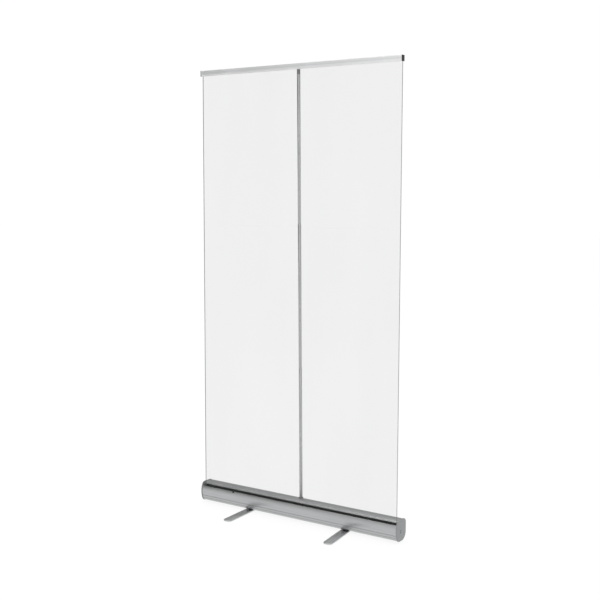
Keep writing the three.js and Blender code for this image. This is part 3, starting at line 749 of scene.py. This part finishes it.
for y, z in (
    (web_rear, web_bottom),
    (web_rear, web_top),
    (hook_low.y + tongue_thickness, web_top),
    (hook_low.y + tongue_thickness, hook_high.z),
    (hook_low.y, hook_high.z),
):
    corner = straight(mesh, corner, Vector((-tongue_half_width, y, z)))
mesh.edges.new((corner, first))
filled(mesh, (2 * tongue_half_width, 0, 0))
eased(mesh, sharp_edges(mesh, 60), 0.0004)
combined(hook, made_object(mesh, "tongue", hook_plastic), "UNION")
fitted(hook, "pole", "silver_plastic", "pole_hook")

# ---- Top rail ----
# A two-part aluminium clamp rail. The hollow front half shows; a strip snaps in behind it, grips
# the film against it, and leaves a channel, open below, for the pole's hook.
rail_metal = drawn_metal("anodised_rail", (0.92, 0.925, 0.93), 0.34, (0.9, 0.0007, 0.0007))
rail_wall = 0.0013
jaw = 0.0005
strip_low, strip_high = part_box("rail_clamp_strip")
step_height, step_depth = 0.0036, 0.0024
front_face, back_face = rail_low.y, rail_high.y


def rail_bar(points, name):
    """A bar drawn through the corners of its section, from one end of the rail to the other."""
    mesh = bmesh.new()
    corner = first = mesh.verts.new((rail_low.x, *points[0]))
    for y, z in points[1:]:
        corner = straight(mesh, corner, Vector((rail_low.x, y, z)))
    mesh.edges.new((corner, first))
    filled(mesh, (rail_high.x - rail_low.x, 0, 0))
    long_edges = [e for e in sharp_edges(mesh) if abs(e.verts[0].co.x - e.verts[1].co.x) > 0.5]
    eased(mesh, long_edges, 0.0002)
    return made_object(mesh, name, rail_metal)


low, high = rail_low.z, rail_high.z
top_ledge = strip_high.z + 0.0003
rail = rail_bar(
    (
        (film_plane - jaw, low),
        (film_plane - jaw, top_ledge),
        (back_face, top_ledge),
        (back_face, high - 0.001),
        (back_face - 0.001, high),
        (front_face + 0.002, high),
        (front_face + 0.0006, high - 0.0006),
        (front_face, high - 0.002),
        (front_face, low + step_height),
        (front_face + step_depth, low + step_height),
        (front_face + step_depth, low),
    ),
    "rail_front",
)
chamber = bmesh.new()
box_between(
    chamber,
    (rail_low.x - 0.01, front_face + rail_wall + 0.0009, low + step_height + rail_wall),
    (rail_high.x + 0.01, film_plane - jaw - rail_wall, high - rail_wall),
)
combined(rail, made_object(chamber, "chamber", rail_metal), "DIFFERENCE")
rail.data.set_sharp_from_angle(angle=radians(15))
fitted(rail, "rail", "rail_aluminium", "top_rail")

strip = rail_bar(
    (
        (strip_low.y, strip_low.z),
        (strip_low.y + rail_wall, strip_low.z),
        (strip_low.y + rail_wall, strip_high.z - rail_wall),
        (back_face - rail_wall, strip_high.z - rail_wall),
        (back_face - rail_wall, low + 0.009),
        (back_face, low + 0.009),
        (back_face, strip_high.z),
        (strip_low.y, strip_high.z),
    ),
    "rail_rear_strip",
)
fitted(strip, "rail", "rail_aluminium", "rail_clamp_strip")

# Black plastic plugs close the rail's ends, with a tail that grips inside its hollow half.
plug_reach = 0.488
for side, name in ((-1, "left"), (1, "right")):
    plug_low, plug_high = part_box(f"rail_end_cap_{name}")
    outer = plug_high.x if side > 0 else plug_low.x
    face = side * (rail_high.x + 0.0003)
    mesh = bmesh.new()
    box_between(
        mesh,
        (min(face, outer), plug_low.y, plug_low.z),
        (max(face, outer), plug_high.y, plug_high.z),
    )
    outside = [e for e in mesh.edges if all(abs(v.co.x - outer) < 1e-5 for v in e.verts)]
    across = [e for e in mesh.edges if abs(e.verts[0].co.x - e.verts[1].co.x) > 0.001]
    eased(mesh, outside + across, 0.0009, 4)
    bmesh.ops.recalc_face_normals(mesh, faces=mesh.faces[:])
    plug = made_object(mesh, f"rail_plug_{name}", black_plastic)
    tail_ends = sorted((side * plug_reach, face + side * 0.001))
    tail = bmesh.new()
    box_between(
        tail,
        (tail_ends[0], front_face + 0.0027, low + step_height + rail_wall + 0.0003),
        (tail_ends[1], film_plane - 0.0023, high - 0.0018),
    )
    eased(tail, tail.edges[:], 0.0003)
    combined(plug, made_object(tail, "tail", black_plastic), "UNION")
    fitted(plug, "rail", "black_plastic", f"rail_end_cap_{name}")

# ---- Banner film ----
# A clear polyester sheet, slightly milky, cut with a knife down both sides. It hangs from the
# clamp rail, drawn tight by the roller's spring, and goes down through the mouth to the roller.
film_thickness = 0.00025
film_width = 1.0
film_top = strip_high.z - 0.0003
film_foot = 0.0125
film_length = film_top - film_foot
ripple = 0.00045
# The next two numbers set a band of painted shade along both side edges of the sheet, and shift it so
# that the left band is wider.
edge_shade_width = 0.0038
edge_shade_shift = 0.0006

mesh = bmesh.new()
bmesh.ops.create_grid(mesh, x_segments=64, y_segments=96, size=0.5)
film_middle = Matrix.Translation((0, film_plane, film_foot + film_length / 2))
stand_up = Matrix.Rotation(pi / 2, 4, "X")
shape = film_middle @ stand_up @ Matrix.Diagonal((film_width, film_length, 1, 1))
bmesh.ops.transform(mesh, matrix=shape, verts=mesh.verts[:])
for v in mesh.verts:
    up = (v.co.z - housing_high.z) / (rail_low.z - housing_high.z)
    free = max(0.0, sin(pi * min(max(up, 0.0), 1.0))) ** 1.4
    swell = sin(v.co.x * 7.1 + 0.6) + 0.6 * sin(v.co.x * 13.3 + v.co.z * 1.9)
    v.co.y += ripple * free * swell
bmesh.ops.solidify(mesh, geom=mesh.faces[:], thickness=film_thickness)
bmesh.ops.recalc_face_normals(mesh, faces=mesh.faces[:])

clear_film, tree, shader, place = new_material("clear_film")
apart = add_node(tree, "ShaderNodeSeparateXYZ", {"Vector": place})
# Painted shade: in a band along each side edge the sheet is made nearly opaque and grey, wider on the
# left, for the dark line that light makes at its edges.
off_centre = add_node(
    tree, "ShaderNodeMath", {0: apart.outputs["X"], 1: edge_shade_shift}, operation="SUBTRACT"
)
side_way = add_node(tree, "ShaderNodeMath", {0: off_centre.outputs[0]}, operation="ABSOLUTE")
edge_start = film_width / 2 - edge_shade_width
edge_shade_mask = ranged(tree, side_way.outputs[0], edge_start, edge_start + edge_shade_width * 0.3)
haze = add_node(
    tree,
    "ShaderNodeTexNoise",
    {
        "Vector": add_node(
            tree, "ShaderNodeVectorMath", {0: place, 1: (3.0, 1.0, 0.7)}, operation="MULTIPLY"
        ).outputs[0],
        "Scale": 1.6,
        "Detail": 4.0,
        "Roughness": 0.55,
    },
)
milk = ranged(tree, haze.outputs["Fac"], 0.3, 0.7, 0.091, 0.103)
milk_and_edge_shade = tree.nodes.new("ShaderNodeMix")
tree.links.new(edge_shade_mask, milk_and_edge_shade.inputs["Factor"])
tree.links.new(milk, milk_and_edge_shade.inputs["A"])
milk_and_edge_shade.inputs["B"].default_value = 0.72
gloss = ranged(tree, haze.outputs["Fac"], 0.3, 0.7, 0.10, 0.2)
tree.links.new(milk_and_edge_shade.outputs["Result"], shader.inputs["Alpha"])
tree.links.new(gloss, shader.inputs["Roughness"])
shader.inputs["Base Color"].default_value = (0.2, 0.204, 0.204, 1)
shader.inputs["Specular IOR Level"].default_value = 0.3

film = made_object(mesh, "film_sheet", clear_film)
fitted(film, "rail", "clear_film", "banner_film")
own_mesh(film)
dressed(clear_film, "wound_film")

# ---- Feet ----
# Flat steel bars with rounded ends, satin plated, that swing out from under the housing on a
# countersunk bolt. A nylon washer spaces each from the housing, and two rubber pads are under it.
foot_turn = {"left": radians(2.5), "right": radians(7)}
foot_half_width, foot_heel, foot_corner = 0.020, 0.045, 0.015
foot_reach = 0.195
foot_edge = 0.0009
bar_low, bar_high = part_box("left_foot")
pad_radius, pad_height = 0.012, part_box("left_foot_front_pad")[1].z
bolt_head_radius, bolt_head_height = 0.0056, 0.0026

for foot, turn in foot_turn.items():
    bolt_low, bolt_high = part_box(f"{foot}_foot_bolt")
    pivot = Vector(((bolt_low.x + bolt_high.x) / 2, (bolt_low.y + bolt_high.y) / 2, 0))
    on_foot = Matrix.Translation(pivot) @ Matrix.Rotation(turn, 4, "Z")
    foot_metal = drawn_metal(
        f"satin_foot_{foot}", (0.54, 0.545, 0.55), 0.38, (0.0009, 0.5, 0.0009), turn
    )
    mesh = bmesh.new()
    box_between(
        mesh, (-foot_half_width, -foot_reach, bar_low.z), (foot_half_width, foot_heel, bar_high.z)
    )
    upright = [e for e in mesh.edges if abs(e.verts[0].co.z - e.verts[1].co.z) > 0.004]
    eased(mesh, upright, foot_corner, 12)
    eased(mesh, sharp_edges(mesh, 60), foot_edge, 3)
    bmesh.ops.recalc_face_normals(mesh, faces=mesh.faces[:])
    bmesh.ops.transform(mesh, matrix=on_foot, verts=mesh.verts[:])
    bar = made_object(mesh, f"foot_bar_{foot}", foot_metal)
    sink = bmesh.new()
    corner = sink.verts.new((0, 0, bar_low.z - 0.001))
    for radius, height in (
        (bolt_head_radius + 0.0003, bar_low.z - 0.001),
        (bolt_head_radius + 0.0003, bar_low.z + 0.0006),
        (bolt_hole_radius, bar_low.z + bolt_head_height + 0.0003),
        (bolt_hole_radius, bar_high.z + 0.001),
        (0, bar_high.z + 0.001),
    ):
        corner = straight(sink, corner, Vector((radius, 0, height)))
    bmesh.ops.spin(
        sink, geom=sink.edges[:], cent=(0, 0, 0), axis=(0, 0, 1), angle=2 * pi, steps=36, use_merge=True
    )
    bmesh.ops.remove_doubles(sink, verts=sink.verts[:], dist=1e-6)
    bmesh.ops.recalc_face_normals(sink, faces=sink.faces[:])
    bmesh.ops.translate(sink, verts=sink.verts[:], vec=pivot)
    combined(bar, made_object(sink, "sink", foot_metal), "DIFFERENCE")
    fitted(bar, f"foot_{foot}", "foot_metal", f"{foot}_foot")

    for end, y in (("front", 0.018 - foot_reach), ("rear", foot_heel - 0.018)):
        mesh = bmesh.new()
        cylinder(mesh, pad_radius, 0, pad_height, 48, 0, y)
        eased(mesh, sharp_edges(mesh, 60), 0.0004)
        sole = min(mesh.faces, key=lambda f: f.calc_center_median().z)
        for inset in (0.002, 0.0012, 0.002, 0.0012):
            bmesh.ops.inset_individual(mesh, faces=[sole], thickness=inset)
            if inset < 0.0015:
                bmesh.ops.translate(mesh, verts=sole.verts[:], vec=(0, 0, 0.0003))
        bmesh.ops.transform(mesh, matrix=on_foot, verts=mesh.verts[:])
        pad = made_object(mesh, f"pad_{foot}_{end}", rubber)
        fitted(pad, f"foot_{foot}", "rubber", f"{foot}_foot_{end}_pad")

    dressed(zinc, f"{foot}_foot_bolt", f"{foot}_foot_plate", f"{foot}_foot_nut")
    dressed(black_plastic, f"{foot}_foot_washer")

# ---- Studio ----
# A white table lit from below as well as above, so that hardly a shadow falls on it. The room is
# even and bright, but darker towards the horizon in what the metal shows of it.
floor_mesh = bmesh.new()
bmesh.ops.create_grid(floor_mesh, x_segments=1, y_segments=1, size=30)
floor_paint, tree, shader, place = new_material("studio_floor")
shader.inputs["Base Color"].default_value = (0.15, 0.15, 0.15, 1)
shader.inputs["Roughness"].default_value = 0.9
shader.inputs["Specular IOR Level"].default_value = 0.0
shader.inputs["Emission Color"].default_value = (1, 1, 1, 1)
shader.inputs["Emission Strength"].default_value = 0.86
floor = made_object(floor_mesh, "floor", floor_paint)

world = bpy.data.worlds.new("studio")
bpy.context.scene.world = world
world.use_nodes = True
tree = world.node_tree
backdrop = tree.nodes["Background"]
heading = add_node(
    tree,
    "ShaderNodeSeparateXYZ",
    {"Vector": add_node(tree, "ShaderNodeTexCoord").outputs["Generated"]},
)
room = add_node(tree, "ShaderNodeValToRGB", {"Fac": heading.outputs["Z"]})
ramp = room.color_ramp.elements
ramp[0].position, ramp[0].color = 0.0, (0.78, 0.78, 0.78, 1)
ramp[1].position, ramp[1].color = 0.95, (0.75, 0.75, 0.75, 1)
for position, level in ((0.13, 0.66), (0.28, 0.36), (0.5, 0.38)):
    ramp.new(position).color = (level, level, level, 1)
# A tall dark screen stands low in front, to the left, and a pale one beside it.
screens = ranged(tree, heading.outputs["X"], -0.53, -0.44, 0.0, 2.4)
above = ranged(tree, heading.outputs["Z"], 0.02, 0.14)
ahead = ranged(tree, heading.outputs["Y"], 0.0, -0.2)
where = add_node(tree, "ShaderNodeMath", {0: above, 1: ahead}, operation="MULTIPLY")
screened = tree.nodes.new("ShaderNodeMix")
tree.links.new(where.outputs[0], screened.inputs["Factor"])
screened.inputs["A"].default_value = 1.0
tree.links.new(screens, screened.inputs["B"])
mirrored = scaled(tree, room.outputs["Color"], screened.outputs["Result"])
seen = add_node(tree, "ShaderNodeLightPath")
strength = tree.nodes.new("ShaderNodeMix")
tree.links.new(seen.outputs["Is Glossy Ray"], strength.inputs["Factor"])
strength.inputs["A"].default_value = 1.012
tree.links.new(mirrored, strength.inputs["B"])
tree.links.new(strength.outputs["Result"], backdrop.inputs["Strength"])
backdrop.inputs["Color"].default_value = (1, 1, 1, 1)

for name, place, size, power in (
    ("top_light", (-1.0, -1.5, 4.5), 4.0, 16),
    ("side_light", (3.5, -0.5, 3.0), 2.5, 10),
    ("back_light", (-1.5, 3.5, 3.5), 3.0, 8),
):
    lamp = bpy.data.lights.new(name, "AREA")
    lamp.size = size
    lamp.energy = power
    light = bpy.data.objects.new(name, lamp)
    bpy.context.scene.collection.objects.link(light)
    light.location = place
    aim = Vector((0, 0, 0.9)) - light.location
    light.rotation_euler = aim.to_track_quat("-Z", "Y").to_euler()
bpy.context.scene.view_settings.view_transform = "Standard"
